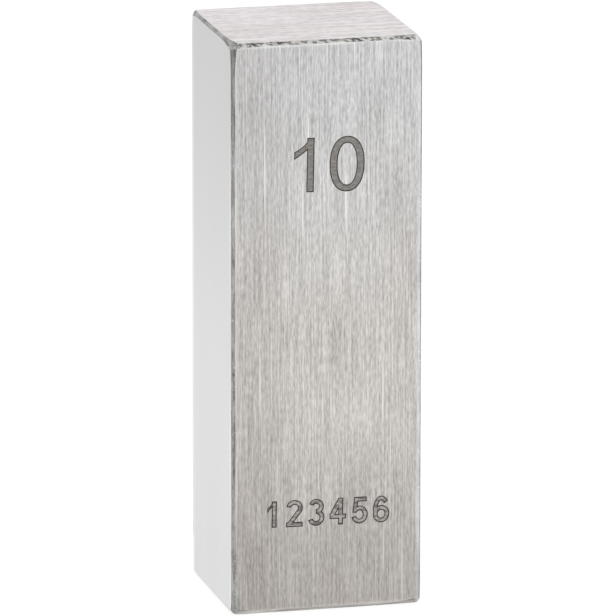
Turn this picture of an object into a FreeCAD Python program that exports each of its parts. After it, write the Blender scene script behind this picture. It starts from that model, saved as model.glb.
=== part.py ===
# Gauge block with a nominal length of 10 mm, the bench standard that other gauges are set by.
#
# It is one piece of hardened tool steel.  The two tall walls that look along -X and +X are
# the lapped measuring faces, and the distance between them is the nominal length.  The front
# (-Y) and the back (+Y) are ground side faces, the top and the bottom are ground end faces,
# and all twelve edges are stoned to a small chamfer.  Two rows of figures are cut a few
# hundredths of a millimetre into the front: the nominal length, and a plain running number.
#
# Frame: millimetres, +Z up along the tall side of the measuring faces, origin at the centre
# of the bottom end face.

import FreeCAD, Part
import math
import os
from collections import namedtuple
import Sketcher

NODE_NAME = "gauge_block"

# The figures of the lower row.  Those of the upper row are worked out from nominal_length.
RUNNING_NUMBER = "123456"

# How far the cutting prisms of the figures start in front of the marked face.
CUTTER_LEAD = 0.5

SIZES = (
    # alias, millimetres
    ("nominal_length", 10.0),
    ("face_height", 30.0),
    ("face_width", 9.0),
    ("edge_chamfer", 0.2),
    ("mark_depth", 0.02),
    # Upper row: the nominal length, set down from the top end face.
    ("size_mark_height", 2.9),
    ("size_mark_width", 1.84),
    ("size_mark_pitch", 2.16),
    ("size_mark_pen", 0.39),
    ("size_mark_drop", 5.0),
    # Lower row: the running number, set up from the bottom end face.
    ("number_mark_height", 1.43),
    ("number_mark_width", 0.88),
    ("number_mark_pitch", 1.15),
    ("number_mark_pen", 0.26),
    ("number_mark_rise", 4.45),
)

# One row of figures: the box of each figure, the step from one to the next, and the
# thickness of the pen that draws them.
Row = namedtuple("Row", "text height width pitch pen")


def fill_spreadsheet(document):
    """Write the driving sizes as plain numbers, each with its alias beside it."""
    sheet = document.addObject("Spreadsheet::Sheet", "sizes")
    for line, (alias, value) in enumerate(SIZES, start=1):
        sheet.set("A%d" % line, alias)
        sheet.set("B%d" % line, str(value))
        sheet.setAlias("B%d" % line, alias)
    document.recompute()
    return sheet


# ---- Strokes -------------------------------------------------------------------------------
# Figures are drawn in their own X-Y plane, each from (0, 0) to (width, height).


def plate(points):
    """Flat face with straight sides through the (x, y) points."""
    corners = [FreeCAD.Vector(x, y, 0) for x, y in points]
    return Part.Face(Part.makePolygon(corners + corners[:1]))


def upright(left, right, bottom, top):
    """Flat rectangle."""
    return plate([(left, bottom), (right, bottom), (right, top), (left, top)])


def oval_arc(centre, half_width, half_height, start, end):
    """Edge along an oval, counter-clockwise between two angles in degrees."""
    middle = FreeCAD.Vector(centre[0], centre[1], 0)
    to_right = middle + FreeCAD.Vector(half_width, 0, 0)
    to_left = middle - FreeCAD.Vector(half_width, 0, 0)
    to_top = middle + FreeCAD.Vector(0, half_height, 0)
    turn = 0.0
    if half_height > half_width:
        oval = Part.Ellipse(to_top, to_left, middle)
        turn = 90.0
    elif half_width > half_height:
        oval = Part.Ellipse(to_right, to_top, middle)
    else:
        oval = Part.Circle(middle, FreeCAD.Vector(0, 0, 1), half_width)
    return oval.toShape(math.radians(start - turn), math.radians(end - turn))


def oval_band(centre, half_width, half_height, pen, start=0.0, end=360.0):
    """Face one pen wide just inside an oval, closed to a ring if it goes all the way."""
    outer = oval_arc(centre, half_width, half_height, start, end)
    inner = oval_arc(centre, half_width - pen, half_height - pen, start, end)
    if end - start >= 360.0:
        return Part.Face(Part.Wire(outer)).cut(Part.Face(Part.Wire(inner))).Faces[0]
    first_end = Part.makeLine(outer.firstVertex(True).Point, inner.firstVertex(True).Point)
    last_end = Part.makeLine(outer.lastVertex(True).Point, inner.lastVertex(True).Point)
    return Part.Face(Part.Wire(Part.__sortEdges__([outer, last_end, inner, first_end])))


def curve(*poles):
    """Edge along a smooth curve that its middle poles pull aside."""
    bezier = Part.BezierCurve()
    bezier.setPoles([FreeCAD.Vector(x, y, 0) for x, y in poles])
    return bezier.toShape()


# ---- Figures -------------------------------------------------------------------------------


def bowl_heights(row):
    """Half heights of two stacked bowls that share one stroke where they meet."""
    both = (row.height + row.pen) / 2
    upper = 0.48 * both
    return upper, both - upper


def figure_0(row):
    centre = (row.width / 2, row.height / 2)
    return [oval_band(centre, row.width / 2, row.height / 2, row.pen)]


def figure_1(row):
    stem_right = 0.74 * row.width
    stem_left = stem_right - row.pen
    tip_left = 0.15 * row.width
    tip_top = 0.735 * row.height
    tip_bottom = tip_top - row.pen
    root_top = (stem_right - 0.7 * row.pen, row.height)
    root_bottom = (stem_left, 0.765 * row.height)
    top_pull = (stem_left - 0.1 * row.pen, 0.85 * row.height)
    bottom_pull = (0.6 * tip_left + 0.4 * stem_left, 0.655 * row.height)
    flag = Part.Wire([
        curve(root_top, top_pull, (tip_left, tip_top)),
        Part.makeLine((tip_left, tip_top, 0), (tip_left, tip_bottom, 0)),
        curve((tip_left, tip_bottom), bottom_pull, root_bottom),
        Part.makeLine((*root_bottom, 0), (*root_top, 0)),
    ])
    return [upright(stem_left, stem_right, 0, row.height), Part.Face(flag)]


def figure_2(row):
    bowl_height = 0.3 * row.height
    centre = (row.width / 2, row.height - bowl_height)
    turn_off = math.radians(-35)
    bowl = oval_band(centre, row.width / 2, bowl_height, row.pen, math.degrees(turn_off), 170)
    outer_end = (
        centre[0] + row.width / 2 * math.cos(turn_off),
        centre[1] + bowl_height * math.sin(turn_off),
    )
    inner_end = (
        centre[0] + (row.width / 2 - row.pen) * math.cos(turn_off),
        centre[1] + (bowl_height - row.pen) * math.sin(turn_off),
    )
    slope = plate([outer_end, inner_end, (0, row.pen / 2), (0, 0), (1.2 * row.pen, row.pen / 2)])
    base = upright(0, row.width, 0, row.pen)
    return [bowl, slope, base]


def figure_3(row):
    upper, lower = bowl_heights(row)
    upper_width = 0.46 * row.width
    lower_width = 0.5 * row.width
    top_bowl = oval_band((lower_width, row.height - upper), upper_width, upper, row.pen, -95, 160)
    low_bowl = oval_band((lower_width, lower), lower_width, lower, row.pen, -165, 95)
    return [top_bowl, low_bowl]


def figure_4(row):
    stem_right = 0.82 * row.width
    stem_left = stem_right - row.pen
    bar_bottom = 0.22 * row.height
    bar_top = bar_bottom + row.pen
    rise = (row.height - bar_top) / stem_left
    brace_width = 1.25 * row.pen
    brace = plate([
        (0, bar_top),
        (brace_width, bar_top),
        (stem_left, row.height - rise * brace_width),
        (stem_left, row.height),
    ])
    stem = upright(stem_left, stem_right, 0, row.height)
    bar = upright(0, row.width, bar_bottom, bar_top)
    return [stem, bar, brace]


def figure_5(row):
    bowl_height = 0.335 * row.height
    centre = (row.width / 2, bowl_height)
    join = 150.0
    bowl = oval_band(centre, row.width / 2, bowl_height, row.pen, -165, join)
    join_inside = (
        centre[0] + (row.width / 2 - row.pen) * math.cos(math.radians(join)),
        centre[1] + (bowl_height - row.pen) * math.sin(math.radians(join)),
    )
    back_foot = 0.07 * row.width
    back_head = 0.17 * row.width
    back = plate([
        (back_foot, join_inside[1]),
        join_inside,
        (back_head + row.pen, row.height),
        (back_head, row.height),
    ])
    top = upright(back_head, 0.93 * row.width, row.height - row.pen, row.height)
    return [bowl, back, top]


def figure_6(row):
    bowl_height = 0.325 * row.height
    bowl = oval_band((row.width / 2, bowl_height), row.width / 2, bowl_height, row.pen)
    # The back leaves the bowl where their two ovals cross, so its end is hidden in the bowl.
    crossing = 2 * bowl_height * row.height / (row.height + 2 * bowl_height)
    back_end = 180 + math.degrees(math.asin(1 - 2 * crossing / row.height))
    centre = (row.width / 2, row.height / 2)
    back = oval_band(centre, row.width / 2, row.height / 2, row.pen, 38, back_end)
    return [bowl, back]


def figure_7(row):
    top = upright(0, row.width, row.height - row.pen, row.height)
    foot = 0.2 * row.width
    leg = plate([
        (foot, 0),
        (foot + 1.05 * row.pen, 0),
        (row.width, row.height - row.pen),
        (row.width - 1.15 * row.pen, row.height - row.pen),
    ])
    return [top, leg]


def figure_8(row):
    upper, lower = bowl_heights(row)
    middle = row.width / 2
    top_bowl = oval_band((middle, row.height - upper), 0.46 * row.width, upper, row.pen)
    low_bowl = oval_band((middle, lower), middle, lower, row.pen)
    return [top_bowl, low_bowl]


def figure_9(row):
    half_turn = FreeCAD.Placement(
        FreeCAD.Vector(row.width, row.height, 0),
        FreeCAD.Rotation(FreeCAD.Vector(0, 0, 1), 180),
    )
    strokes = figure_6(row)
    for stroke in strokes:
        stroke.Placement = half_turn.multiply(stroke.Placement)
    return strokes


def figure_point(row):
    left = (row.width - row.pen) / 2
    return [upright(left, left + row.pen, 0, row.pen)]


FIGURES = {
    "0": figure_0,
    "1": figure_1,
    "2": figure_2,
    "3": figure_3,
    "4": figure_4,
    "5": figure_5,
    "6": figure_6,
    "7": figure_7,
    "8": figure_8,
    "9": figure_9,
    ".": figure_point,
}


def figure_outline(figure, row):
    """All strokes of one figure, joined to one flat shape."""
    strokes = FIGURES[figure](row)
    if len(strokes) == 1:
        return strokes[0]
    return strokes[0].fuse(strokes[1:]).removeSplitter()


def row_cutter(row, depth):
    """Prisms of a row of figures, centred on X = 0, that reach depth below their plane."""
    row_width = (len(row.text) - 1) * row.pitch + row.width
    prisms = []
    for place, figure in enumerate(row.text):
        outline = figure_outline(figure, row)
        outline.translate(FreeCAD.Vector(place * row.pitch - row_width / 2, 0, CUTTER_LEAD))
        prisms.append(outline.extrude(FreeCAD.Vector(0, 0, -CUTTER_LEAD - depth)))
    return Part.makeCompound(prisms)


# ---- Sub-parts -----------------------------------------------------------------------------


def centred_rectangle(body, name, along_x, along_y):
    """Sketch on the body's X-Y plane: a rectangle about the origin, sized by two cells."""
    sketch = body.newObject("Sketcher::SketchObject", name)
    plane = next(item for item in body.Origin.OriginFeatures if item.Role == "XY_Plane")
    sketch.AttachmentSupport = [(plane, "")]
    sketch.MapMode = "FlatFace"
    corners = [
        FreeCAD.Vector(-1, -1, 0),
        FreeCAD.Vector(1, -1, 0),
        FreeCAD.Vector(1, 1, 0),
        FreeCAD.Vector(-1, 1, 0),
    ]
    for start, end in zip(corners, corners[1:] + corners[:1]):
        sketch.addGeometry(Part.LineSegment(start, end), False)
    for side in range(4):
        sketch.addConstraint(Sketcher.Constraint("Coincident", side, 2, (side + 1) % 4, 1))
    for side in (0, 2):
        sketch.addConstraint(Sketcher.Constraint("Horizontal", side))
    for side in (1, 3):
        sketch.addConstraint(Sketcher.Constraint("Vertical", side))
    sketch.addConstraint(Sketcher.Constraint("Symmetric", 0, 1, 1, 2, -1, 1))
    along_x_constraint = sketch.addConstraint(Sketcher.Constraint("DistanceX", 0, 1, 0, 2, 2.0))
    along_y_constraint = sketch.addConstraint(Sketcher.Constraint("DistanceY", 1, 1, 1, 2, 2.0))
    sketch.setExpression("Constraints[%d]" % along_x_constraint, along_x)
    sketch.setExpression("Constraints[%d]" % along_y_constraint, along_y)
    return sketch


def make_blank(document):
    """The ground and lapped block with its chamfered edges, before it is marked."""
    body = document.addObject("PartDesign::Body", "blank")
    section = centred_rectangle(body, "section", "sizes.nominal_length", "sizes.face_width")
    column = body.newObject("PartDesign::Pad", "column")
    column.Profile = section
    column.setExpression("Length", "sizes.face_height")
    document.recompute()
    edges = body.newObject("PartDesign::Chamfer", "stoned_edges")
    edges.Base = (column, ["Edge%d" % (index + 1) for index in range(len(column.Shape.Edges))])
    edges.setExpression("Size", "sizes.edge_chamfer")
    document.recompute()
    return body


def make_mark(document, name, row, depth, row_foot):
    """Cutter for one row of figures, standing on the front face at the height row_foot."""
    mark = document.addObject("Part::Feature", name)
    mark.Shape = row_cutter(row, depth)
    mark.Placement = FreeCAD.Placement(
        FreeCAD.Vector(0, 0, 0),
        FreeCAD.Rotation(FreeCAD.Vector(1, 0, 0), 90),
    )
    mark.setExpression("Placement.Base.y", "-sizes.face_width / 2")
    mark.setExpression("Placement.Base.z", row_foot)
    return mark


def read_row(sheet, text, prefix):
    """A row of figures with the sizes whose aliases start with prefix."""
    return Row(
        text,
        sheet.get(prefix + "_height"),
        sheet.get(prefix + "_width"),
        sheet.get(prefix + "_pitch"),
        sheet.get(prefix + "_pen"),
    )


def make_gauge_block(document, sheet):
    """The blank with both rows of figures cut into its front face."""
    blank = make_blank(document)
    depth = sheet.get("mark_depth")
    size_mark = make_mark(
        document,
        "size_mark",
        read_row(sheet, "%g" % sheet.get("nominal_length"), "size_mark"),
        depth,
        "sizes.face_height - sizes.size_mark_drop - sizes.size_mark_height",
    )
    number_mark = make_mark(
        document,
        "number_mark",
        read_row(sheet, RUNNING_NUMBER, "number_mark"),
        depth,
        "sizes.number_mark_rise",
    )
    marks = document.addObject("Part::Compound", "marks")
    marks.Links = [size_mark, number_mark]
    gauge_block = document.addObject("Part::Cut", NODE_NAME)
    gauge_block.Base = blank
    gauge_block.Tool = marks
    document.recompute()
    return gauge_block


def check_document(document):
    """Stop at the first object that failed or has no sound shape."""
    for item in document.Objects:
        if "Invalid" in item.State or "Error" in item.State:
            raise RuntimeError("%s did not recompute: %s" % (item.Label, item.State))
        if not hasattr(item, "Shape") or item.TypeId.startswith("App::"):
            continue
        if item.Shape.isNull() or not item.Shape.isValid():
            raise RuntimeError("%s has no sound shape" % item.Label)


def check_marks(document, gauge_block):
    """Stop unless the figures were cut into the front, to their full depth."""
    blank = document.getObject("blank").Shape
    cutters = document.getObject("marks").Shape
    depth = document.getObject("sizes").get("mark_depth")
    removed = blank.Volume - gauge_block.Shape.Volume
    expected = cutters.Volume * depth / (CUTTER_LEAD + depth)
    if len(gauge_block.Shape.Solids) != 1 or abs(removed - expected) > 0.01 * expected:
        raise RuntimeError("the figures are not cut as planned: %.5f mm3" % removed)
    print("figures removed %.4f mm3 of %.4f planned" % (removed, expected))


def main():
    document = FreeCAD.newDocument("gauge_block_model")
    sheet = fill_spreadsheet(document)
    gauge_block = make_gauge_block(document, sheet)
    check_document(document)
    check_marks(document, gauge_block)
    box = gauge_block.Shape.BoundBox
    print("%s: %.3f x %.3f x %.3f mm, %.2f mm3" % (
        gauge_block.Label, box.XLength, box.YLength, box.ZLength, gauge_block.Shape.Volume))
    os.makedirs("parts", exist_ok=True)
    gauge_block.Shape.exportStep("parts/%s.step" % gauge_block.Label)


main()
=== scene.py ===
"""Steel gauge block with a nominal length of 10 mm, dressed over its CAD solid.

The block is one piece of hardened tool steel.  Its two measuring faces (-X and +X) are
lapped, its front and back (-Y and +Y) and its two ends (-Z and +Z) are ground, and its edges
are stoned by hand.  The front carries two rows of laser-marked figures.

Lengths in this script are metres, as in the frame, unless a name ends in _mm.
"""

import logging
import math
from dataclasses import dataclass, field, replace
from enum import Enum
from typing import Callable, Iterable, Optional, Sequence

import bpy
from mathutils import Matrix, Quaternion, Vector, noise
from mathutils.geometry import delaunay_2d_cdt

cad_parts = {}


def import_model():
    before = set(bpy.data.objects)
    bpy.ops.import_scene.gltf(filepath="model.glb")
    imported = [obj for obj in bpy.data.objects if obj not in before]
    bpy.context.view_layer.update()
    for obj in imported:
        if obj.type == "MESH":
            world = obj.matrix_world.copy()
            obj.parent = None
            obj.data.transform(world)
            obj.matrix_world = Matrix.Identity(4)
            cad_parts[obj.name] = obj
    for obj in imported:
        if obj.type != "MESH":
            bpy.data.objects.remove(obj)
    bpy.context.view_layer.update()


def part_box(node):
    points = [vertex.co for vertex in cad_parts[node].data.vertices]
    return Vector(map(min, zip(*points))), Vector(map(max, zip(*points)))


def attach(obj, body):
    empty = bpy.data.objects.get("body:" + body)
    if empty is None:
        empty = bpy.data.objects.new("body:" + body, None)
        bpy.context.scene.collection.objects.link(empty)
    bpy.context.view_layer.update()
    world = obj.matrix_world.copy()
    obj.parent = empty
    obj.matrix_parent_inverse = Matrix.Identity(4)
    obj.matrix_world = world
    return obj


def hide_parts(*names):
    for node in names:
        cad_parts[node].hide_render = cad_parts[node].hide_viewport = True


LOG = logging.getLogger("gauge_block")

BLOCK_NODE = "gauge_block"
PIECE_NAME = "gauge_block_steel"

MM = 0.001
UM = 1e-6

WHITE = (1.0, 1.0, 1.0, 1.0)

Point2 = tuple[float, float]
Loop = list[Point2]


# ---- Node helpers --------------------------------------------------------------------------


def linear(hex_colour: str) -> tuple[float, float, float, float]:
    """Turn an sRGB hex colour into Blender's linear RGBA.

    Args:
        hex_colour: The colour as "#rrggbb".

    Returns:
        Linear red, green and blue, with an alpha of 1.
    """
    channels = []
    for start in (1, 3, 5):
        value = int(hex_colour[start:start + 2], 16) / 255
        straight = value <= 0.04045
        channels.append(value / 12.92 if straight else ((value + 0.055) / 1.055) ** 2.4)
    return (*channels, 1.0)


def add_node(
    tree: bpy.types.NodeTree,
    kind: str,
    settings: Optional[dict] = None,
    values: Optional[dict] = None,
    links: Optional[dict] = None,
) -> bpy.types.Node:
    """Add one node with its settings, plain input values and incoming links.

    Args:
        tree: The node tree that receives the node.
        kind: The node's type, such as "ShaderNodeMath".
        settings: Attribute names of the node and their values.
        values: Inputs, by name or number, and the plain values to set on them.
        links: Inputs, by name or number, and the output sockets that feed them.

    Returns:
        The new node.
    """
    node = tree.nodes.new(kind)
    for name, value in (settings or {}).items():
        setattr(node, name, value)
    for key, value in (values or {}).items():
        node.inputs[key].default_value = value
    for key, socket in (links or {}).items():
        tree.links.new(socket, node.inputs[key])
    return node


def operate(
    tree: bpy.types.NodeTree,
    kind: str,
    operation: str,
    first: bpy.types.NodeSocket,
    second: bpy.types.NodeSocket | Sequence[float],
) -> bpy.types.NodeSocket:
    """Add one sum, product or comparison.

    Args:
        tree: The node tree.
        kind: "Math" for numbers or "VectorMath" for vectors.
        operation: Blender's name of the operation.
        first: The first operand.
        second: The second operand, as a socket or as plain values.

    Returns:
        The result.
    """
    plain = not isinstance(second, bpy.types.NodeSocket)
    node = add_node(
        tree,
        f"ShaderNode{kind}",
        settings={"operation": operation},
        values={1: second} if plain else None,
        links={0: first} if plain else {0: first, 1: second},
    )
    return node.outputs[0]


def map_range(
    tree: bpy.types.NodeTree,
    value: bpy.types.NodeSocket,
    source: tuple[float, float] = (0.0, 1.0),
    target: tuple[float, float] = (0.0, 1.0),
    interpolation: str = "LINEAR",
) -> bpy.types.NodeSocket:
    """Add a node that maps one range of numbers to another, clamped to its ends.

    Args:
        tree: The node tree.
        value: The number to map.
        source: Its lowest and highest value.
        target: What those two values become.
        interpolation: Blender's name of the way between them.

    Returns:
        The mapped number.
    """
    node = add_node(
        tree,
        "ShaderNodeMapRange",
        settings={"interpolation_type": interpolation},
        values={
            "From Min": source[0],
            "From Max": source[1],
            "To Min": target[0],
            "To Max": target[1],
        },
        links={"Value": value},
    )
    return node.outputs["Result"]


def empty_material(name: str) -> tuple[bpy.types.Material, bpy.types.NodeTree]:
    """Make a material whose node tree holds nothing yet.

    Args:
        name: The material's name.

    Returns:
        The material and its node tree.
    """
    material = bpy.data.materials.new(name)
    material.use_nodes = True
    material.node_tree.nodes.clear()
    return material, material.node_tree


# ---- Finishes ------------------------------------------------------------------------------


class Grain(Enum):
    """Direction that a surface was ground in, as the block's axis along the scratches."""

    ALONG_X = 0
    ALONG_Y = 1
    ALONG_Z = 2


@dataclass(frozen=True)
class Place:
    """Sockets that say where a point of the block is.

    Attributes:
        mm: The object's own coordinates in millimetres.
        share: The same place as a share of the block's size, from its lowest corner.
        from_edge_mm: Distance from the nearer of the two faces square to each axis.
    """

    mm: bpy.types.NodeSocket
    share: bpy.types.NodeSocket
    from_edge_mm: bpy.types.NodeSocket

    @classmethod
    def add(cls, tree: bpy.types.NodeTree, low: Vector, high: Vector) -> "Place":
        """Add the nodes that give the sockets.

        Args:
            tree: The material's node tree.
            low: Lowest corner of the block.
            high: Highest corner of the block.

        Returns:
            The sockets.
        """
        half = (high - low) / 2
        own = add_node(tree, "ShaderNodeTexCoord").outputs["Object"]
        per_mm = Vector((1.0, 1.0, 1.0)) / MM
        unused = Vector((0.0, 0.0, 0.0))
        from_low = operate(tree, "VectorMath", "SUBTRACT", own, low)
        from_middle = operate(tree, "VectorMath", "SUBTRACT", own, low + half)
        off_middle = operate(tree, "VectorMath", "ABSOLUTE", from_middle, unused)
        from_edge = operate(tree, "VectorMath", "SUBTRACT", off_middle, half)
        return cls(
            mm=operate(tree, "VectorMath", "MULTIPLY", own, per_mm),
            share=operate(tree, "VectorMath", "DIVIDE", from_low, high - low),
            from_edge_mm=operate(tree, "VectorMath", "MULTIPLY", from_edge, -per_mm),
        )


@dataclass(frozen=True)
class Streaks:
    """One layer of scratches or stains that run along the grain.

    Attributes:
        across_mm: Typical spacing across the grain.
        along_mm: Typical length along the grain.
        low: Pattern value that gives 0.
        high: Pattern value that gives 1.
        detail: Octaves of finer pattern inside each streak.
        slant: Millimetres that a streak leans in X and Y for each millimetre of Z.
    """

    across_mm: float
    along_mm: float
    low: float = 0.3
    high: float = 0.7
    detail: float = 0.0
    slant: float = 0.0

    def add(
        self, tree: bpy.types.NodeTree, place: Place, grain: Grain
    ) -> bpy.types.NodeSocket:
        """Add the layer's nodes.

        Args:
            tree: The material's node tree.
            place: Where the point is.
            grain: The direction of the streaks.

        Returns:
            A socket that goes from 0 to 1 across the streaks.
        """
        start = place.mm
        if self.slant:
            height = add_node(tree, "ShaderNodeSeparateXYZ", links={0: start}).outputs["Z"]
            lean = add_node(
                tree,
                "ShaderNodeVectorMath",
                settings={"operation": "SCALE"},
                values={0: (self.slant, self.slant, 0.0)},
                links={"Scale": height},
            )
            start = operate(tree, "VectorMath", "ADD", start, lean.outputs["Vector"])
        steps = [1 / self.across_mm] * 3
        steps[grain.value] = 1 / self.along_mm
        octave_strength = 0.6
        pattern = add_node(
            tree,
            "ShaderNodeTexNoise",
            values={"Scale": 1.0, "Detail": self.detail, "Roughness": octave_strength},
            links={"Vector": operate(tree, "VectorMath", "MULTIPLY", start, steps)},
        )
        return map_range(tree, pattern.outputs["Fac"], (self.low, self.high))


def mix_colour(
    tree: bpy.types.NodeTree,
    factor: bpy.types.NodeSocket,
    first: bpy.types.NodeSocket | str,
    second: bpy.types.NodeSocket | str,
    blend: str = "MIX",
) -> bpy.types.NodeSocket:
    """Mix two colours by a pattern.

    Args:
        tree: The material's node tree.
        factor: The pattern, from 0 for the first colour to 1 for the second.
        first: A colour socket or a hex colour.
        second: A colour socket or a hex colour.
        blend: Blender's name of the blend mode.

    Returns:
        The mixed colour.
    """
    mixer = add_node(
        tree,
        "ShaderNodeMix",
        settings={"data_type": "RGBA", "blend_type": blend},
        links={"Factor": factor},
    )
    colour_inputs = [item for item in mixer.inputs if item.type == "RGBA"]
    for socket, colour in zip(colour_inputs, (first, second)):
        if isinstance(colour, str):
            socket.default_value = linear(colour)
        else:
            tree.links.new(colour, socket)
    return next(item for item in mixer.outputs if item.type == "RGBA")


@dataclass(frozen=True)
class ToneGradient:
    """A tint that comes on slowly along the block; where it darkens one end or side of a face,
    it is painted shade.

    Attributes:
        axis: The axis along which it comes on.
        clear: Place where it starts, as a share of the block's size from its low end.
        full: Place where it is complete.
        tint: Colour that it multiplies the steel by.
    """

    axis: int
    clear: float
    full: float
    tint: str

    def add(
        self, tree: bpy.types.NodeTree, place: Place, colour: bpy.types.NodeSocket
    ) -> bpy.types.NodeSocket:
        """Multiply a colour by the tint, more towards the tint's full end.

        Args:
            tree: The material's node tree.
            place: Where the point is.
            colour: The bare colour.

        Returns:
            The tinted colour.
        """
        parts = add_node(tree, "ShaderNodeSeparateXYZ", links={0: place.share})
        ends = (self.clear, self.full)
        rising = self.full > self.clear
        amount = map_range(
            tree,
            parts.outputs[self.axis],
            ends if rising else ends[::-1],
            (0.0, 1.0) if rising else (1.0, 0.0),
            "SMOOTHSTEP",
        )
        return mix_colour(tree, amount, colour, self.tint, "MULTIPLY")


@dataclass(frozen=True)
class EdgeHighlight:
    """Painted highlight: a pale band beside the edges of a face, where it rolls into its
    stoned edges.

    Attributes:
        axes: The axes across which the highlit edges lie.
        start_mm: Distance from the edge where the face begins.
        reach_mm: Distance from the edge where the highlight has faded out.
        bright: Colour of the highlight.
        gaps: Where the highlight comes and goes along the edge.
    """

    axes: tuple[int, ...]
    start_mm: float
    reach_mm: float
    bright: str
    gaps: Streaks

    def add(
        self, tree: bpy.types.NodeTree, place: Place, colour: bpy.types.NodeSocket
    ) -> bpy.types.NodeSocket:
        """Paint a highlight over a colour beside the edges.

        Args:
            tree: The material's node tree.
            place: Where the point is.
            colour: The colour away from the edges.

        Returns:
            The colour with its painted highlight.
        """
        parts = add_node(tree, "ShaderNodeSeparateXYZ", links={0: place.from_edge_mm})
        nearest = parts.outputs[self.axes[0]]
        for axis in self.axes[1:]:
            nearest = operate(tree, "Math", "MINIMUM", nearest, parts.outputs[axis])
        fading = map_range(tree, nearest, (self.start_mm, self.reach_mm), (1.0, 0.0))
        gaps = self.gaps.add(tree, place, Grain.ALONG_Z)
        broken = operate(tree, "Math", "MULTIPLY", fading, gaps)
        return mix_colour(tree, broken, colour, self.bright)


@dataclass(frozen=True, kw_only=True)
class Finish:
    """A finish of the block's steel.

    Attributes:
        name: Material name.
        roughness: Microscopic roughness.
        metallic: Share of bare metal in the surface.
    """

    name: str
    roughness: float
    metallic: float = 1.0

    def add_nodes(
        self, tree: bpy.types.NodeTree, place: Place
    ) -> dict[str, bpy.types.NodeSocket]:
        """Add the nodes that draw the finish.

        Args:
            tree: The material's node tree.
            place: Where the point is.

        Returns:
            The sockets that feed the shader, by the name of its input.
        """
        raise NotImplementedError

    def material(self, low: Vector, high: Vector) -> bpy.types.Material:
        """Build the material.

        Args:
            low: Lowest corner of the block.
            high: Highest corner of the block.

        Returns:
            The finished material.
        """
        material, tree = empty_material(self.name)
        shader = add_node(
            tree,
            "ShaderNodeBsdfPrincipled",
            values={"Metallic": self.metallic, "Roughness": self.roughness},
            links=self.add_nodes(tree, Place.add(tree, low, high)),
        )
        add_node(tree, "ShaderNodeOutputMaterial", links={"Surface": shader.outputs["BSDF"]})
        return material


@dataclass(frozen=True, kw_only=True)
class GroundSteel(Finish):
    """Tool steel ground on a surface grinder: straight scratches, satin, slightly warm.

    The scratches catch the light as fine bright and dark streaks along the grain.

    Attributes:
        grain: Direction of the grinding scratches.
        bright: Colour of the crests between scratches.
        dull: Colour of the scratched valleys.
        stain: Colour of the slightly tarnished patches.
        short: The short scratches of single grits of the wheel.
        long: The long scratches along the wheel's travel.
        scratches: Sparse scratches and nicks from handling.
        patch: Slow change of tone over the face.
        tone_gradients: Slow tints along the block, painted shade where they darken the face.
        edge_highlight: Painted highlight beside the edges of the face, if it has any.
        relief_um: Height of the scratches in micrometres.
    """

    grain: Grain
    bright: str
    dull: str
    stain: str
    short: Streaks
    long: Streaks
    scratches: tuple[Streaks, ...]
    patch: Streaks
    tone_gradients: tuple[ToneGradient, ...]
    edge_highlight: Optional[EdgeHighlight]
    relief_um: float

    def add_nodes(
        self, tree: bpy.types.NodeTree, place: Place
    ) -> dict[str, bpy.types.NodeSocket]:
        """Add the nodes that draw the finish.

        Args:
            tree: The material's node tree.
            place: Where the point is.

        Returns:
            The sockets that feed the shader, by the name of its input.
        """
        streaks = add_node(
            tree,
            "ShaderNodeMix",
            settings={"data_type": "FLOAT"},
            values={0: 0.5},
            links={
                2: self.short.add(tree, place, self.grain),
                3: self.long.add(tree, place, self.grain),
            },
        )
        pattern = streaks.outputs[0]
        colour = mix_colour(tree, pattern, self.dull, self.bright)
        patch = self.patch.add(tree, place, self.grain)
        colour = mix_colour(tree, patch, colour, self.stain, "MULTIPLY")
        for scratches in self.scratches:
            scratch = scratches.add(tree, place, self.grain)
            colour = mix_colour(tree, scratch, colour, self.bright)
        # Painted highlight beside the edges of the face.
        if self.edge_highlight:
            colour = self.edge_highlight.add(tree, place, colour)
        # Painted shade: the tone gradients darken the face towards one end or side.
        for tone_gradient in self.tone_gradients:
            colour = tone_gradient.add(tree, place, colour)
        relief = add_node(
            tree,
            "ShaderNodeBump",
            values={"Strength": 1.0, "Distance": self.relief_um * UM},
            links={"Height": pattern},
        )
        return {"Base Color": colour, "Normal": relief.outputs["Normal"]}


@dataclass(frozen=True, kw_only=True)
class LappedSteel(Finish):
    """Tool steel lapped flat with fine paste: smooth, bright, hardly any grain.

    Attributes:
        bright: Colour of the lapped surface.
        dull: Colour of its faint haze.
        haze: Slow cloudiness left by the lapping plate.
        tone_gradients: Slow tints along the block, painted shade where they darken the face.
        edge_highlight: Painted highlight beside the edges of the face.
    """

    bright: str
    dull: str
    haze: Streaks
    tone_gradients: tuple[ToneGradient, ...]
    edge_highlight: EdgeHighlight

    def add_nodes(
        self, tree: bpy.types.NodeTree, place: Place
    ) -> dict[str, bpy.types.NodeSocket]:
        """Add the nodes that draw the finish.

        Args:
            tree: The material's node tree.
            place: Where the point is.

        Returns:
            The sockets that feed the shader, by the name of its input.
        """
        haze = self.haze.add(tree, place, Grain.ALONG_Z)
        colour = mix_colour(tree, haze, self.bright, self.dull)
        colour = self.edge_highlight.add(tree, place, colour)
        # Painted shade: the tone gradients darken the face towards one end.
        for tone_gradient in self.tone_gradients:
            colour = tone_gradient.add(tree, place, colour)
        return {"Base Color": colour}


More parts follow.
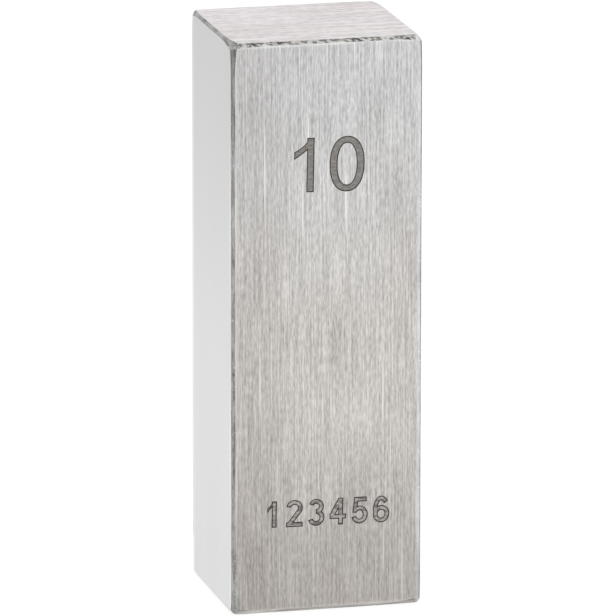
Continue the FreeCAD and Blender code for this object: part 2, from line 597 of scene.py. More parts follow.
@dataclass(frozen=True, kw_only=True)
class LaserMark(Finish):
    """Steel darkened by a marking laser: grey oxide, dull, with fine hatching.

    Attributes:
        light: Colour between two passes of the beam.
        dark: Colour where the beam ran.
        hatch: The passes of the beam, drawn coarser than real ones so that they show.
    """

    light: str
    dark: str
    hatch: Streaks

    def add_nodes(
        self, tree: bpy.types.NodeTree, place: Place
    ) -> dict[str, bpy.types.NodeSocket]:
        """Add the nodes that draw the finish.

        Args:
            tree: The material's node tree.
            place: Where the point is.

        Returns:
            The sockets that feed the shader, by the name of its input.
        """
        hatch = self.hatch.add(tree, place, Grain.ALONG_X)
        return {"Base Color": mix_colour(tree, hatch, self.dark, self.light)}


# ---- Figures -------------------------------------------------------------------------------


def oval_point(
    centre: Point2, half_width: float, half_height: float, angle: float, fullness: float = 2.0
) -> Point2:
    """Point on an oval.

    Args:
        centre: Centre of the oval.
        half_width: Half its width.
        half_height: Half its height.
        angle: Angle in degrees, counter-clockwise from its right side.
        fullness: 2 for a plain ellipse, more for one with straighter sides.

    Returns:
        The point.
    """
    turn = math.radians(angle)
    reach = [
        math.copysign(abs(share) ** (2 / fullness), share)
        for share in (math.cos(turn), math.sin(turn))
    ]
    return centre[0] + half_width * reach[0], centre[1] + half_height * reach[1]


def curve_points(start: Point2, pull: Point2, end: Point2, steps: int = 8) -> Loop:
    """Points along a smooth curve that its middle point pulls aside.

    Args:
        start: First point.
        pull: Point that pulls the curve aside.
        end: Last point.
        steps: Number of straight pieces.

    Returns:
        The points, both ends included.
    """
    points = []
    for step in range(steps + 1):
        t = step / steps
        weights = ((1 - t) ** 2, 2 * t * (1 - t), t ** 2)
        points.append(tuple(
            sum(weight * point[axis] for weight, point in zip(weights, (start, pull, end)))
            for axis in (0, 1)
        ))
    return points


@dataclass(frozen=True)
class FigureRow:
    """A row of plain figures drawn by a pen, each from (0, 0) to (width, height).

    Attributes:
        text: The figures of the row.
        height: Height of a figure.
        width: Width of a figure.
        pitch: Step from one figure to the next.
        pen: Thickness of the strokes.
        line: Width of the darker line that the laser draws round each figure.
        foot: Height of the row's foot above the block's bottom.
        aside: Place of the row's middle, right of the front's middle.
        turn: Turn of the row about its first figure, in degrees counter-clockwise.
        degrees_per_side: Length of one side of a curve, as an angle.
        flat_share: Height of a figure that ends flat, as a share of a round one's.
    """

    text: str
    height: float
    width: float
    pitch: float
    pen: float
    line: float
    foot: float
    aside: float
    turn: float

    degrees_per_side: float = 5.0
    flat_share: float = 0.98

    def band(
        self,
        centre: Point2,
        half_width: float,
        half_height: float,
        start: float,
        end: float,
        pens: Optional[Point2] = None,
        fullness: float = 2.0,
    ) -> Loop:
        """Outline of a stroke just inside an oval.

        Args:
            centre: Centre of the oval.
            half_width: Half the oval's width.
            half_height: Half the oval's height.
            start: Angle in degrees where the stroke starts.
            end: Angle in degrees where it ends, counter-clockwise.
            pens: Thickness at the oval's sides and at its top, if not the row's own.
            fullness: 2 for a plain ellipse, more for one with straighter sides.

        Returns:
            The closed outline.
        """
        side_pen, top_pen = pens or (self.pen, self.pen)
        sides = max(2, math.ceil((end - start) / self.degrees_per_side))
        angles = [start + (end - start) * side / sides for side in range(sides + 1)]
        outer = [
            oval_point(centre, half_width, half_height, angle, fullness) for angle in angles
        ]
        inner = [
            oval_point(centre, half_width - side_pen, half_height - top_pen, angle, fullness)
            for angle in reversed(angles)
        ]
        return outer + inner

    def bar(self, left: float, right: float, bottom: float, top: float) -> Loop:
        """Outline of an upright rectangle.

        Args:
            left: Its left side.
            right: Its right side.
            bottom: Its foot.
            top: Its top.

        Returns:
            The closed outline.
        """
        return [(left, bottom), (right, bottom), (right, top), (left, top)]

    def bowl_heights(self) -> tuple[float, float]:
        """Half heights of the upper and lower of two bowls that share a stroke."""
        both = (self.height + self.pen) / 2
        upper_share = 0.48
        upper = upper_share * both
        return upper, both - upper

    def figure_0(self) -> list[Loop]:
        """Strokes of a nought: one oval in two halves, heavier at its sides."""
        half = (self.width / 2, self.height / 2)
        pens = (1.08 * self.pen, 0.94 * self.pen)
        fullness = 2.25
        return [
            self.band(half, *half, start, start + 180, pens, fullness) for start in (0, 180)
        ]

    def figure_1(self) -> list[Loop]:
        """Strokes of a one: the stem, and the flag that leaves it at the top."""
        stem_right = 0.74 * self.width
        stem_left = stem_right - self.pen
        top = (1 + self.flat_share) / 2 * self.height
        tip_left = 0.165 * self.width
        tip_top = 0.735 * self.height
        tip_bottom = tip_top - self.pen
        root_top = (stem_right - 0.7 * self.pen, top)
        root_bottom = (stem_left, 0.765 * self.height)
        top_pull = (stem_left - 0.1 * self.pen, 0.85 * self.height)
        bottom_pull = (0.6 * tip_left + 0.4 * stem_left, 0.655 * self.height)
        flag = curve_points(root_top, top_pull, (tip_left, tip_top))
        flag += curve_points((tip_left, tip_bottom), bottom_pull, root_bottom)
        return [self.bar(stem_left, stem_right, self.height - top, top), flag]

    def figure_2(self) -> list[Loop]:
        """Strokes of a two: bowl, slope and base."""
        bowl_height = 0.3 * self.height
        centre = (self.width / 2, self.height - bowl_height)
        turn_off, tip = -35.0, 170.0
        bowl = self.band(centre, self.width / 2, bowl_height, turn_off, tip)
        slope_foot = 1.2 * self.pen
        slope = [
            oval_point(centre, self.width / 2, bowl_height, turn_off),
            oval_point(centre, self.width / 2 - self.pen, bowl_height - self.pen, turn_off),
            (0, self.pen / 2),
            (0, 0),
            (slope_foot, self.pen / 2),
        ]
        return [bowl, slope, self.bar(0, self.width, 0, self.pen)]

    def figure_3(self) -> list[Loop]:
        """Strokes of a three: two open bowls."""
        upper, lower = self.bowl_heights()
        middle = self.width / 2
        top_half_width = 0.46 * self.width
        waist, top_tip, low_tip = 95, 160, -165
        top_centre = (middle, self.height - upper)
        top_bowl = self.band(top_centre, top_half_width, upper, -waist, top_tip)
        low_bowl = self.band((middle, lower), middle, lower, low_tip, waist)
        return [top_bowl, low_bowl]

    def figure_4(self) -> list[Loop]:
        """Strokes of a four: stem, bar and brace."""
        stem_right = 0.82 * self.width
        stem_left = stem_right - self.pen
        bar_bottom = 0.22 * self.height
        bar_top = bar_bottom + self.pen
        rise = (self.height - bar_top) / stem_left
        brace_width = 1.25 * self.pen
        brace = [
            (0, bar_top),
            (brace_width, bar_top),
            (stem_left, self.height - rise * brace_width),
            (stem_left, self.height),
        ]
        stem = self.bar(stem_left, stem_right, 0, self.height)
        return [stem, self.bar(0, self.width, bar_bottom, bar_top), brace]

    def figure_5(self) -> list[Loop]:
        """Strokes of a five: bowl, back and top."""
        bowl_height = 0.335 * self.height
        centre = (self.width / 2, bowl_height)
        tip, join = -165.0, 150.0
        bowl = self.band(centre, self.width / 2, bowl_height, tip, join)
        join_inside = oval_point(
            centre, self.width / 2 - self.pen, bowl_height - self.pen, join
        )
        back_foot = 0.07 * self.width
        back_head = 0.17 * self.width
        top_right = 0.93 * self.width
        back = [
            (back_foot, join_inside[1]),
            join_inside,
            (back_head + self.pen, self.height),
            (back_head, self.height),
        ]
        top = self.bar(back_head, top_right, self.height - self.pen, self.height)
        return [bowl, back, top]

    def figure_6(self) -> list[Loop]:
        """Strokes of a six: closed bowl, and the back that leaves it where the ovals cross."""
        bowl_height = 0.325 * self.height
        half = (self.width / 2, bowl_height)
        bowl = [self.band(half, *half, start, start + 180) for start in (0, 180)]
        crossing = 2 * bowl_height * self.height / (self.height + 2 * bowl_height)
        back_start = 38
        back_end = 180 + math.degrees(math.asin(1 - 2 * crossing / self.height))
        centre = (self.width / 2, self.height / 2)
        back = self.band(centre, self.width / 2, self.height / 2, back_start, back_end)
        return [*bowl, back]

    def outlines(self) -> list[Loop]:
        """Outlines of the whole row, centred on 0 across and standing at its foot.

        Returns:
            Closed loops in the front face's plane, outer ones and those of the holes.
        """
        drawers: tuple[Callable[[], list[Loop]], ...] = (
            self.figure_0,
            self.figure_1,
            self.figure_2,
            self.figure_3,
            self.figure_4,
            self.figure_5,
            self.figure_6,
        )
        row_width = (len(self.text) - 1) * self.pitch + self.width
        pivot = Vector((self.width / 2, self.height / 2))
        turned = Matrix.Rotation(math.radians(self.turn), 2)
        start = Vector((self.aside - row_width / 2, self.foot)) + pivot
        loops = []
        for place, figure in enumerate(self.text):
            step = Vector((place * self.pitch, 0.0)) - pivot
            for loop in joined_outline(drawers[int(figure)]()):
                moved = [start + turned @ (Vector(corner) + step) for corner in loop]
                loops.append([(corner.x, corner.y) for corner in moved])
        return loops


def triangulate(
    points: Sequence[Point2], loops: Sequence[Sequence[int]]
) -> tuple[list[Point2], list[tuple[int, ...]], list[list[int]], list[list[int]]]:
    """Fill overlapping closed loops with triangles that respect every outline.

    Args:
        points: Points of the plane, in metres.
        loops: Loops, as indices into the points.

    Returns:
        The triangles' points, the triangles, the loops that hold each triangle, and the
        given points that each new point stands for.
    """
    scaled = [Vector((x / MM, y / MM)) for x, y in points]
    turned = []
    for loop in loops:
        corners = [scaled[index] for index in loop]
        doubled_area = sum(corners[i - 1].cross(corner) for i, corner in enumerate(corners))
        turned.append(list(loop) if doubled_area > 0 else list(reversed(loop)))
    inside_only = 1
    tolerance_mm = 1e-5
    result = delaunay_2d_cdt(scaled, [], turned, inside_only, tolerance_mm, True)
    placed, _, triangles, point_sources, _, holders = result
    return (
        [(point.x * MM, point.y * MM) for point in placed],
        [tuple(triangle) for triangle in triangles],
        holders,
        point_sources,
    )


def joined_outline(strokes: Sequence[Loop]) -> list[Loop]:
    """Join overlapping strokes and walk round what they cover.

    Args:
        strokes: Closed outlines that may overlap.

    Returns:
        The closed outlines of the joined shape, its holes included, with the covered side
        on the left.
    """
    points: list[Point2] = []
    loops = []
    for stroke in strokes:
        loops.append(list(range(len(points), len(points) + len(stroke))))
        points.extend(stroke)
    placed, triangles, holders, _ = triangulate(points, loops)
    following: dict[int, int] = {}
    sides = {
        (triangle[corner], triangle[(corner + 1) % 3])
        for triangle, holder in zip(triangles, holders)
        for corner in range(3)
        if holder
    }
    for start, end in sides:
        if (end, start) not in sides:
            following[start] = end
    outlines = []
    while following:
        start, step = following.popitem()
        loop = [start]
        while step != start:
            loop.append(step)
            step = following.pop(step)
        outlines.append([placed[index] for index in loop])
    return outlines


def inset_loop(loop: Loop, distance: float) -> Loop:
    """Move a closed outline towards the side on its left.

    Args:
        loop: The outline, with the covered side on its left.
        distance: How far each side moves.

    Returns:
        The moved outline, without the corners that would fold over.
    """
    moved = []
    count = len(loop)
    # A corner may move out by about three times the distance, however sharp it is.
    sharpest = 0.3
    for index, here in enumerate(loop):
        before = Vector(here) - Vector(loop[index - 1])
        after = Vector(loop[(index + 1) % count]) - Vector(here)
        left_before = Vector((-before.y, before.x)).normalized()
        left_after = Vector((-after.y, after.x)).normalized()
        middle = (left_before + left_after).normalized()
        reach = distance / max(sharpest, middle.dot(left_after))
        moved.append(Vector(here) + middle * reach)
    slack = 0.98
    return [
        (point.x, point.y)
        for point in moved
        if distance_to_loop(point, loop) >= slack * distance
    ]


def holds_point(loop: Loop, point: Vector) -> bool:
    """Tell whether a closed outline goes round a point.

    Args:
        loop: The outline.
        point: The point.

    Returns:
        True if the point is inside.
    """
    inside = False
    for index, (x, y) in enumerate(loop):
        x_before, y_before = loop[index - 1]
        if (y > point.y) != (y_before > point.y):
            crossing = x + (point.y - y) * (x_before - x) / (y_before - y)
            inside ^= crossing > point.x
    return inside


def distance_to_loop(point: Vector, loop: Loop) -> float:
    """Shortest distance from a point to a closed outline.

    Args:
        point: The point.
        loop: The outline.

    Returns:
        The distance.
    """
    best = math.inf
    no_area = 1e-18
    for index, end in enumerate(loop):
        start = Vector(loop[index - 1])
        along = Vector(end) - start
        share = (point - start).dot(along) / max(along.length_squared, no_area)
        best = min(best, (point - start - along * max(0.0, min(1.0, share))).length)
    return best


# ---- The block -----------------------------------------------------------------------------


@dataclass(frozen=True)
class Face:
    """One of the block's six faces.

    Attributes:
        axis: The axis that the face is square to.
        side: -1 for the low end of that axis, +1 for the high end.
    """

    axis: int
    side: int


class Surface(Enum):
    """The block's kinds of surface, numbered as its material slots."""

    GROUND_SIDE = 0
    GROUND_END = 1
    LAPPED = 2
    STONED_UPRIGHT = 3
    STONED_BRIGHT = 4
    STONED_CROSSWISE = 5
    STONED_SHORT = 6
    STONED_FOOT = 7
    MARK_LINE = 8
    SIZE_FILL = 9
    NUMBER_FILL = 10


@dataclass(frozen=True)
class Outline:
    """An outline of a figure in the front's plane.

    Attributes:
        loop: Its corners in turn.
        line: Width of the line that the laser draws beside it.
        fill: Kind of surface that the figure has inside that line.
    """

    loop: Loop
    line: float
    fill: Surface

    def is_near(self, point: Vector) -> bool:
        """Tell whether a point lies in the outline's box, grown by the width of its line.

        Args:
            point: The point.

        Returns:
            True if it does.
        """
        for axis in (0, 1):
            places = [corner[axis] for corner in self.loop]
            if not min(places) - self.line <= point[axis] <= max(places) + self.line:
                return False
        return True


FACES = tuple(Face(axis, side) for axis in range(3) for side in (-1, 1))
LEFT, RIGHT, FRONT, BACK, BOTTOM, TOP = FACES

FACE_SURFACES = {0: Surface.LAPPED, 1: Surface.GROUND_SIDE, 2: Surface.GROUND_END}


# ---- The block's finishes ------------------------------------------------------------------

# Front and back: tool steel ground along the block's length, satin, with fine upright
# lines.  Real scratches are 0.01 to 0.03 mm wide, too fine to show, and are drawn about
# 0.1 mm wide.  The lower half is tinted warmer.  Painted shade darkens the foot and the
# left side, and a painted highlight brightens a narrow band beside the stoned edges.
GROUND_SIDE = GroundSteel(
    name="ground_tool_steel_side",
    grain=Grain.ALONG_Z,
    bright="#e8e8e8",
    dull="#a6a6a6",
    stain="#f1efee",
    short=Streaks(across_mm=0.085, along_mm=0.45, low=0.32, high=0.68, detail=1.5),
    long=Streaks(across_mm=0.1, along_mm=4.0, low=0.32, high=0.68, detail=1.5),
    scratches=(
        Streaks(across_mm=0.12, along_mm=6.0, low=0.74, high=0.86),
        Streaks(across_mm=0.1, along_mm=0.3, low=0.74, high=0.8, detail=1.0),
    ),
    patch=Streaks(across_mm=2.5, along_mm=9.0, low=0.35, high=0.9, detail=2.0),
    # Painted shade: the second and third tints darken the foot and the left side; the first
    # warms the lower half.
    tone_gradients=(
        ToneGradient(axis=2, clear=0.92, full=0.45, tint="#fffbf6"),
        ToneGradient(axis=2, clear=0.42, full=0.0, tint="#dfdddc"),
        ToneGradient(axis=0, clear=0.45, full=0.03, tint="#f5f4f4"),
    ),
    # Painted highlight: a pale band where the face meets its stoned edges.
    edge_highlight=EdgeHighlight(
        axes=(0, 2),
        start_mm=0.16,
        reach_mm=0.31,
        bright="#f2f2f1",
        gaps=Streaks(across_mm=2.0, along_mm=4.0, low=0.1, high=0.8),
    ),
    relief_um=1.5,
    roughness=0.38,
)

# Both ends: the same steel ground across the block, painted a little lighter than the
# sides as the light that the top catches, and pinker.  Its lines are drawn 0.2 to 0.3 mm
# apart, because the end is seen at a low angle.
GROUND_END = GroundSteel(
    name="ground_tool_steel_end",
    grain=Grain.ALONG_X,
    bright="#ede8e9",
    dull="#c3bebf",
    stain="#f0e9e4",
    short=Streaks(across_mm=0.22, along_mm=0.4, low=0.32, high=0.68, detail=1.0),
    long=Streaks(across_mm=0.3, along_mm=5.0, low=0.32, high=0.68, detail=1.0),
    scratches=(Streaks(across_mm=0.3, along_mm=10.0, low=0.74, high=0.8),),
    patch=Streaks(across_mm=2.0, along_mm=5.0, low=0.5, high=0.8, detail=2.0),
    tone_gradients=(),
    edge_highlight=None,
    relief_um=1.5,
    roughness=0.36,
)

# Measuring faces: lapped until no scratch is left, so they mirror the white room, with
# a faint haze.  Painted shade darkens their upper part, and a painted highlight brightens
# a band beside their upright edges.
LAPPED = LappedSteel(
    name="lapped_tool_steel",
    bright="#d0d0d0",
    dull="#cecece",
    haze=Streaks(across_mm=2.0, along_mm=8.0),
    tone_gradients=(ToneGradient(axis=2, clear=0.3, full=1.05, tint="#e4e4e4"),),
    edge_highlight=EdgeHighlight(
        axes=(1,),
        start_mm=0.32,
        reach_mm=0.75,
        bright="#eeefee",
        gaps=Streaks(across_mm=2.0, along_mm=6.0, low=0.1, high=0.7),
    ),
    roughness=0.22,
)

# Left upright edges: broken by hand with an oil stone, blotchy, and painted dark grey as
# shade, darker still towards the top.  The stone's scratches, about 0.03 mm wide, are
# drawn 0.15 mm wide to show.
STONED = GroundSteel(
    name="stoned_tool_steel_shaded_edge",
    grain=Grain.ALONG_Z,
    bright="#bbbbb9",
    dull="#757573",
    stain="#eeece9",
    short=Streaks(across_mm=0.15, along_mm=0.5, low=0.3, high=0.7, detail=1.0),
    long=Streaks(across_mm=0.15, along_mm=2.0, low=0.3, high=0.7),
    scratches=(Streaks(across_mm=0.12, along_mm=0.8, low=0.7, high=0.76, slant=1.0),),
    patch=Streaks(across_mm=0.8, along_mm=2.0, low=0.4, high=0.8),
    tone_gradients=(ToneGradient(axis=2, clear=0.75, full=1.0, tint="#d8d8d6"),),
    edge_highlight=None,
    relief_um=2.0,
    roughness=0.42,
)

# Right edges and the ends' short edges: the stoned steel painted pale and even as a
# highlight, with painted shade towards the foot.
HIGHLIGHT_STONED = replace(
    STONED,
    name="stoned_tool_steel_highlight_edge",
    bright="#e4e4e5",
    dull="#bebebf",
    stain="#f4f5f6",
    tone_gradients=(ToneGradient(axis=2, clear=0.2, full=0.02, tint="#dcdcdc"),),
    roughness=0.36,
)

# Long edges at the top: the stone slipped across them and left slanting dark nicks.
CROSSWISE_STONED = replace(
    STONED,
    name="stoned_tool_steel_crosswise_edge",
    bright="#e4e3e0",
    dull="#3c3a39",
    short=Streaks(across_mm=0.26, along_mm=1.2, low=0.4, high=0.6, slant=1.0),
    long=Streaks(across_mm=1.1, along_mm=2.0, low=0.3, high=0.8),
    tone_gradients=(),
)

# Top left edge and the left corners: stoned along the short edge.
SHORT_STONED = replace(
    STONED,
    name="stoned_tool_steel_short_edge",
    grain=Grain.ALONG_Y,
    bright="#b8b8b7",
    dull="#6e6e6d",
    short=Streaks(across_mm=0.15, along_mm=0.5, low=0.3, high=0.7, detail=1.0),
    long=Streaks(across_mm=0.3, along_mm=1.2, low=0.3, high=0.7),
    tone_gradients=(),
)

# Long edges at the foot: stoned along their length, which leaves thin level lines.
# Their colours are painted lighter than the left edges' as light, against the shadow on
# the table that they mirror.
FOOT_STONED = replace(
    STONED,
    name="stoned_tool_steel_foot_edge",
    grain=Grain.ALONG_X,
    bright="#cfcdca",
    dull="#807e7c",
    short=Streaks(across_mm=0.06, along_mm=2.0, low=0.3, high=0.7),
    long=Streaks(across_mm=0.1, along_mm=5.0, low=0.3, high=0.7),
    tone_gradients=(),
)

# Outline of the figures: steel that the marking laser burned dark brown-grey.
MARK_LINE = LaserMark(
    name="laser_marked_steel_line",
    light="#46423f",
    dark="#312e2c",
    hatch=Streaks(across_mm=0.1, along_mm=0.2),
    roughness=0.55,
    metallic=0.6,
)

# Inside of the large figures: hatched with a weaker beam, matt grey.  Passes of about
# 0.04 mm are drawn 0.09 mm apart to show.
SIZE_FILL = LaserMark(
    name="laser_marked_steel_size_fill",
    light="#9d9995",
    dark="#83807c",
    hatch=Streaks(across_mm=0.09, along_mm=0.25),
    roughness=0.5,
    metallic=0.7,
)

# Inside of the small figures: the same beam at a faster pass, which leaves patches of
# paler steel between its darker ones.  Drawn about twice as coarse as real ones.
NUMBER_FILL = LaserMark(
    name="laser_marked_steel_number_fill",
    light="#bab6b1",
    dark="#7c7874",
    hatch=Streaks(across_mm=0.12, along_mm=0.3),
    roughness=0.5,
    metallic=0.7,
)

FINISHES: dict[Surface, Finish] = {
    Surface.GROUND_SIDE: GROUND_SIDE,
    Surface.GROUND_END: GROUND_END,
    Surface.LAPPED: LAPPED,
    Surface.STONED_UPRIGHT: STONED,
    Surface.STONED_BRIGHT: HIGHLIGHT_STONED,
    Surface.STONED_CROSSWISE: CROSSWISE_STONED,
    Surface.STONED_SHORT: SHORT_STONED,
    Surface.STONED_FOOT: FOOT_STONED,
    Surface.MARK_LINE: MARK_LINE,
    Surface.SIZE_FILL: SIZE_FILL,
    Surface.NUMBER_FILL: NUMBER_FILL,
}


# ---- The block's edges ---------------------------------------------------------------------


@dataclass(frozen=True)
class Flare:
    """Growth of a stoned edge towards its end, where the stone rocked.

    Attributes:
        growth: Extra width at the very end, as a share of the edge's own.
        reach: How far it reaches along the edge.
    """

    growth: float
    reach: float

    def at(self, distance: float) -> float:
        """Growth at a place on the edge.

        Args:
            distance: Distance from the end of the edge.

        Returns:
            The extra width, as a share of the edge's own.
        """
        return self.growth * math.exp(-((distance / self.reach) ** 2))


SLIGHT_FLARE = Flare(growth=0.3, reach=0.5 * MM)
END_FLARE = Flare(growth=0.6, reach=0.8 * MM)
CORNER_FLARE = Flare(growth=1.5, reach=1.2 * MM)
FOOT_FLARE = Flare(growth=1.4, reach=2.4 * MM)


@dataclass(frozen=True)
class EdgeCut:
    """What the stone took off one face along one of its edges.

    Attributes:
        width: Width taken off, away from the edge's ends.
        low_flare: Flare at the edge's low end.
        high_flare: Flare at its high end.
    """

    width: float
    low_flare: Flare = END_FLARE
    high_flare: Flare = END_FLARE

    def at(self, place: float, length: float) -> float:
        """Width at a place along the edge.

        Args:
            place: Distance from the edge's low end.
            length: Length of the edge.

        Returns:
            The width.
        """
        growth = self.low_flare.at(place) + self.high_flare.at(length - place)
        return self.width * (1 + growth)


@dataclass(frozen=True)
class StonedEdges:
    """How the edges were broken by hand with an oil stone.

    Attributes:
        cuts: What the stone took off a face, by the face's axis and its neighbour's.
        own_cuts: The same for the edges that it treated differently.
        waver: Unevenness of the width.
        waver_length: Length of the waver along the edge.
        crown: Height of the rounded facet over a flat one, as a share of its width.
        rows: Strips of faces across the facet.
        shaded_rows: Rows of the right upright edges, next to the right face, that keep the
            left edges' painted shade.
        step: Length of one face along an edge.
    """

    cuts: dict[tuple[int, int], EdgeCut] = field(default_factory=lambda: {
        (0, 1): EdgeCut(0.31 * MM, low_flare=SLIGHT_FLARE),
        (1, 0): EdgeCut(0.155 * MM, low_flare=FOOT_FLARE),
        (0, 2): EdgeCut(0.13 * MM),
        (2, 0): EdgeCut(0.13 * MM),
        (1, 2): EdgeCut(0.13 * MM),
        (2, 1): EdgeCut(0.13 * MM),
    })
    own_cuts: dict[tuple[Face, Face], EdgeCut] = field(default_factory=lambda: {
        (LEFT, BACK): EdgeCut(0.31 * MM, low_flare=SLIGHT_FLARE, high_flare=SLIGHT_FLARE),
        (RIGHT, FRONT): EdgeCut(0.16 * MM, low_flare=SLIGHT_FLARE),
        (RIGHT, BACK): EdgeCut(0.16 * MM, low_flare=SLIGHT_FLARE),
        (FRONT, RIGHT): EdgeCut(0.24 * MM, low_flare=SLIGHT_FLARE),
        (BACK, RIGHT): EdgeCut(0.24 * MM, low_flare=SLIGHT_FLARE),
        (LEFT, TOP): EdgeCut(0.15 * MM, low_flare=CORNER_FLARE),
        (TOP, LEFT): EdgeCut(0.15 * MM, low_flare=CORNER_FLARE),
        (RIGHT, TOP): EdgeCut(0.26 * MM, low_flare=SLIGHT_FLARE),
        (TOP, RIGHT): EdgeCut(0.25 * MM, low_flare=SLIGHT_FLARE),
        (FRONT, TOP): EdgeCut(0.16 * MM, low_flare=SLIGHT_FLARE),
        (TOP, FRONT): EdgeCut(0.22 * MM, low_flare=SLIGHT_FLARE),
        (FRONT, BOTTOM): EdgeCut(0.18 * MM),
        (BACK, BOTTOM): EdgeCut(0.18 * MM),
    })
    waver: float = 0.015 * MM
    waver_length: float = 1.6 * MM
    crown: float = 0.12
    rows: int = 5
    shaded_rows: int = 2
    step: float = 0.5 * MM

    def cut(self, face: Face, neighbour: Face, place: float, length: float) -> float:
        """Width taken off one face along its edge with a neighbour.

        Args:
            face: The face.
            neighbour: The face on the other side of the edge.
            place: Distance along the edge from its low end.
            length: Length of the edge.

        Returns:
            The width at that place.
        """
        usual = self.cuts[face.axis, neighbour.axis]
        cut = self.own_cuts.get((face, neighbour), usual)
        # The factors only give each edge of each face its own stretch of the noise.
        seed = Vector((
            place / self.waver_length,
            face.axis * 7.3 + face.side * 2.9,
            neighbour.axis * 5.1 + neighbour.side * 3.7,
        ))
        return cut.at(place, length) + self.waver * noise.noise(seed)

    def surface(self, first: Face, second: Face, row: int) -> Surface:
        """Kind of surface of one row of the facet between two faces.

        Args:
            first: The face that row 0 meets.
            second: The face that the last row meets.
            row: The row.

        Returns:
            The kind of surface.
        """
        pair = {first, second}
        axes = {first.axis, second.axis}
        if axes == {1, 2}:
            return Surface.STONED_FOOT if BOTTOM in pair else Surface.STONED_CROSSWISE
        # The ends' short edges take the painted highlight, all but the top left one.
        if axes == {0, 2}:
            return Surface.STONED_SHORT if pair == {LEFT, TOP} else Surface.STONED_BRIGHT
        # The right upright edges take the painted highlight; their rows next to the right face
        # keep the left edges' painted shade.
        if RIGHT in pair:
            from_right = row if first == RIGHT else self.rows - 1 - row
            if from_right >= self.shaded_rows:
                return Surface.STONED_BRIGHT
        return Surface.STONED_UPRIGHT


@dataclass
class BlockMesh:
    """Vertices and faces gathered for one mesh.

    Attributes:
        points: The vertices.
        faces: The faces, as vertex numbers.
        surfaces: The kind of surface of each face.
        owners: The side of the block whose texture tile each face lies on.
    """

    points: list[Vector] = field(default_factory=list)
    faces: list[tuple[int, ...]] = field(default_factory=list)
    surfaces: list[Surface] = field(default_factory=list)
    owners: list[Face] = field(default_factory=list)

    def add_point(self, point: Vector) -> int:
        """Add a vertex.

        Args:
            point: Its place.

        Returns:
            Its number.
        """
        self.points.append(point)
        return len(self.points) - 1

    def add_face(
        self, corners: Sequence[int], outward: Vector, surface: Surface, owner: Face
    ) -> None:
        """Add a face, turned so that it looks outward.

        Args:
            corners: Vertex numbers round the face.
            outward: Rough direction that the face looks in.
            surface: The kind of surface.
            owner: The side of the block whose texture tile the face lies on.
        """
        origin = self.points[corners[0]]
        normal = Vector((0.0, 0.0, 0.0))
        for index, corner in enumerate(corners):
            before = self.points[corners[index - 1]] - origin
            normal += before.cross(self.points[corner] - origin)
        ordered = tuple(corners) if normal.dot(outward) > 0 else tuple(reversed(corners))
        self.faces.append(ordered)
        self.surfaces.append(surface)
        self.owners.append(owner)

    def add_grid(
        self,
        grid: Sequence[Sequence[int]],
        outward: Vector,
        surface_of_column: Callable[[int], Surface],
        owner: Face,
    ) -> None:
        """Add a quad between every four neighbours of a grid.

        Args:
            grid: Lines of vertex numbers, all equally long.
            outward: Rough direction that the quads look in.
            surface_of_column: Gives the kind of surface of a column of quads.
            owner: The side of the block whose texture tile the quads lie on.
        """
        for line, next_line in zip(grid, grid[1:]):
            for column in range(len(line) - 1):
                after = column + 1
                quad = (line[column], line[after], next_line[after], next_line[column])
                self.add_face(quad, outward, surface_of_column(column), owner)


